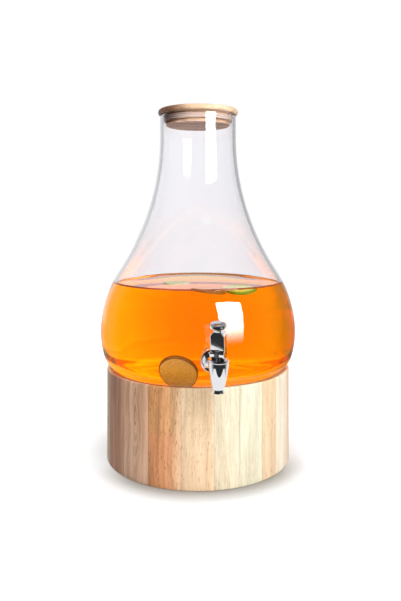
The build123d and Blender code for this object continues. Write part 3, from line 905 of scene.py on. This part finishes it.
def addCard(name, corners, strength, fade, glass, metal):
    # a bright panel that only reflections and refractions see, clear at its lower edge
    mesh = bpy.data.meshes.new(name)
    mesh.from_pydata([standingPlace(*c) for c in corners], [], [(0, 1, 2, 3)])
    layer = mesh.uv_layers.new(name="card")
    layer.data.foreach_set("uv", np.array([0, 0, 1, 0, 1, 1, 0, 1], np.float32))
    material, tree, _ = newMaterial(name)
    tree.nodes.clear()
    rise = parts(tree, addNode(tree, "ShaderNodeTexCoord").outputs["UV"])[1]
    ray = addNode(tree, "ShaderNodeLightPath").outputs
    sharp = ray["Is Singular Ray"]
    plated = times(tree, ray["Is Glossy Ray"], minus(tree, 1.0, sharp))
    share = timesPlus(tree, plated, metal - 1.0, timesPlus(tree, sharp, glass - 1.0, 1.0))
    deep = maths(tree, "GREATER_THAN", ray["Transmission Depth"], drinkRay["walls"])
    share = times(tree, share, timesPlus(tree, deep, drinkRay["cardShare"], 1.0), strength)
    glow = addNode(tree, "ShaderNodeEmission", None, {"Strength": share})
    clear = addNode(tree, "ShaderNodeBsdfTransparent")
    panel = addNode(tree, "ShaderNodeMixShader", None, {
        0: spread(tree, rise, 0.0, fade, 0.0, 1.0), 1: clear.outputs[0], 2: glow.outputs[0]})
    addNode(tree, "ShaderNodeOutputMaterial", None, {"Surface": panel.outputs[0]})
    mesh.materials.append(material)
    card = placeObject(name, mesh)
    card.visible_camera = card.visible_diffuse = card.visible_shadow = card.visible_volume_scatter = False
    card.visible_transmission = glass > 0


# floor: each spread is from, to, value at the start, value at the end
floorLook = {
    "reach": 6.0, "tone": (0.50, 0.50, 0.50, 1), "rough": 0.9, "lift": (0.11, 0.20, 0.72, 1.0),
    "contact": (0.30, 0.27, 0.23, 1), "contactReach": 0.05, "open": (0.50, 0.93, 0.0, 1.0),
    "before": (-0.8, -0.1, 1.0, 0.3),
}


def makeFloor():
    f = floorLook
    r = f["reach"]
    mesh = bpy.data.meshes.new("floor")
    mesh.from_pydata([(-r, -r, 0), (r, -r, 0), (r, r, 0), (-r, r, 0)], [], [(0, 1, 2, 3)])
    material, tree, shader = newMaterial("floorPaper")
    spot = objectPlace(tree)
    # the paper is lifted to white, more so away from the object, so that only the shadow at its foot shows
    lift = spread(tree, vectorMaths(tree, "LENGTH", spot)["Value"], *f["lift"])
    seen = addNode(tree, "ShaderNodeLightPath").outputs["Is Camera Ray"]
    # painted shadow: close to the foot of the stand an ambient occlusion darkens the floor's colour and glow, with a
    # warm tint that stands in for light thrown back from the wood
    near = addNode(tree, "ShaderNodeAmbientOcclusion", {"samples": 8}, {"Distance": f["contactReach"]}).outputs["AO"]
    shade = minus(tree, 1.0, spread(tree, near, *f["open"]))
    # the painted shadow is made strongest before the stand
    before = parts(tree, vectorMaths(tree, "NORMALIZE", spot)[0])[1]
    dim = times(tree, shade, spread(tree, before, *f["before"]))
    warm = mixColour(tree, "MIX", dim, white, f["contact"])
    feed(tree, shader, {
        "Base Color": mixColour(tree, "MULTIPLY", 1.0, warm, f["tone"]), "Roughness": f["rough"],
        "Specular IOR Level": 0.0})
    glow = addNode(tree, "ShaderNodeEmission", None, {"Color": warm, "Strength": times(tree, seen, lift)})
    both = addNode(tree, "ShaderNodeAddShader", None, {0: shader.outputs[0], 1: glow.outputs[0]})
    feed(tree, tree.nodes["Material Output"], {"Surface": both.outputs[0]})
    mesh.materials.append(material)
    floor = placeObject("floor", mesh)
    floor.visible_glossy = floor.visible_transmission = False


# world: each spread is from, to, value at the start, value at the end
room = {
    "fill": 0.08, "glassTint": (0.97, 0.955, 1.0, 1), "leastLift": -0.9,
    "narrow": (0.35, 0.85, 0.03, 0.85), "wide": (-0.8, -0.3, 0.85, 1.0), "edge": (2.4, 2.6, 0.75, 1.06),
    "right": (0.1, 0.6, 0.20, 0.70), "left": (-0.55, -0.2, -0.5, 0.0), "high": (0.1, 0.4, 0.0, 0.8),
    "once": (0.4, 0.6, 0.0, -0.5), "more": (1.4, 1.6, 0.0, 2.0), "inside": (4.4, 4.6, 0.30, 1.6),
    "low": (-0.16, -0.08, 0.35, 1.0), "glassy": (0.70, 0.96, 0.03, 1.0),
    "metal": (-0.45, 0.35, 0.03, 0.95), "metalHigh": (0.2, 0.6, 1.0, 0.35),
}


def makeWorld():
    f = room
    world = bpy.data.worlds.new("studio")
    bpy.context.scene.world = world
    world.use_nodes = True
    tree = world.node_tree
    tree.nodes.clear()
    ray = addNode(tree, "ShaderNodeLightPath").outputs
    passed, walls = ray["Is Transmission Ray"], ray["Transmission Depth"]
    # the studio turns with the camera, so that the glass is lit alike from every side: right and back are the
    # parts of a ray's way to the camera's right and ahead, turned by the azimuth of the first view
    place = addNode(tree, "ShaderNodeTexCoord").outputs
    aside, _, ahead = parts(tree, place["Camera"])
    cosine, sine = np.cos(np.radians(view["azimuth"])), np.sin(np.radians(view["azimuth"]))
    right = timesPlus(tree, aside, cosine, times(tree, ahead, -sine))
    back = timesPlus(tree, aside, sine, times(tree, ahead, cosine))
    up = parts(tree, place["Generated"])[2]
    # back is 1 straight behind the object and -1 behind the camera. What is seen straight through the glass is
    # white; rays that a wall threw back on their way see white near straight behind and dark round the camera
    folded = maths(tree, "GREATER_THAN", ray["Glossy Depth"], 0.5)
    deep = maths(tree, "GREATER_THAN", walls, drinkRay["walls"])
    thrown = mixColour(tree, "MIX", deep, spread(tree, back, *f["narrow"]), spread(tree, back, *f["wide"]))
    behind = mixColour(tree, "MIX", folded, white, thrown)
    # light that only grazed through the edge of the wall comes from darker places
    edge = spread(tree, walls, *f["edge"])
    # behind the drink the backdrop is brighter high up and on the side of the key light, and darker far on the
    # other side; rays thrown back once only haze the glass, and those thrown back more light the drink's foot
    lift = plus(tree, spread(tree, right, *f["right"]), spread(tree, right, *f["left"]), spread(tree, up, *f["high"]),
                spread(tree, ray["Glossy Depth"], *f["once"]), spread(tree, ray["Glossy Depth"], *f["more"]))
    lift = maths(tree, "MAXIMUM", lift, f["leastLift"])
    through = times(tree, timesPlus(tree, deep, lift, edge), behind)
    # what lights the fruit through the glass, and less of it the lid's plug
    lit = maths(tree, "GREATER_THAN", ray["Diffuse Depth"], 0.5)
    through = mixColour(tree, "MIX", lit, through, spread(tree, walls, *f["inside"]))
    # clear glass mirrors a dark room with white only straight behind, less of it low down, and the metal sees
    # more of the white
    glassy = times(tree, spread(tree, back, *f["glassy"]), spread(tree, up, *f["low"]))
    metal = times(tree, spread(tree, back, *f["metal"]), spread(tree, up, *f["metalHigh"]))
    mirror = mixColour(tree, "MIX", ray["Is Singular Ray"], metal, glassy)
    # a ray through clear glass counts as glossy too, so reflections are the glossy rays that were not let through
    outside = minus(tree, 1.0, passed)
    level = plus(tree, times(tree, ray["Is Diffuse Ray"], outside, f["fill"]), ray["Is Camera Ray"],
                 times(tree, times(tree, ray["Is Glossy Ray"], outside), mirror), times(tree, passed, through))
    tint = mixColour(tree, "MIX", passed, white, f["glassTint"])
    light = addNode(tree, "ShaderNodeBackground", None, {"Color": tint, "Strength": level})
    addNode(tree, "ShaderNodeOutputWorld", None, {"Surface": light.outputs[0]})


makeFloor()
makeWorld()
for lampName, settings in lamps.items():
    addLamp(lampName, *settings)
for cardName, settings in cards.items():
    addCard(cardName, *settings)
# a drink in glass in a ring: light crosses many surfaces before it leaves
render = bpy.context.scene.cycles
render.max_bounces, render.transmission_bounces, render.glossy_bounces = 32, 32, 16

bpy.context.scene.view_settings.view_transform = "Standard"
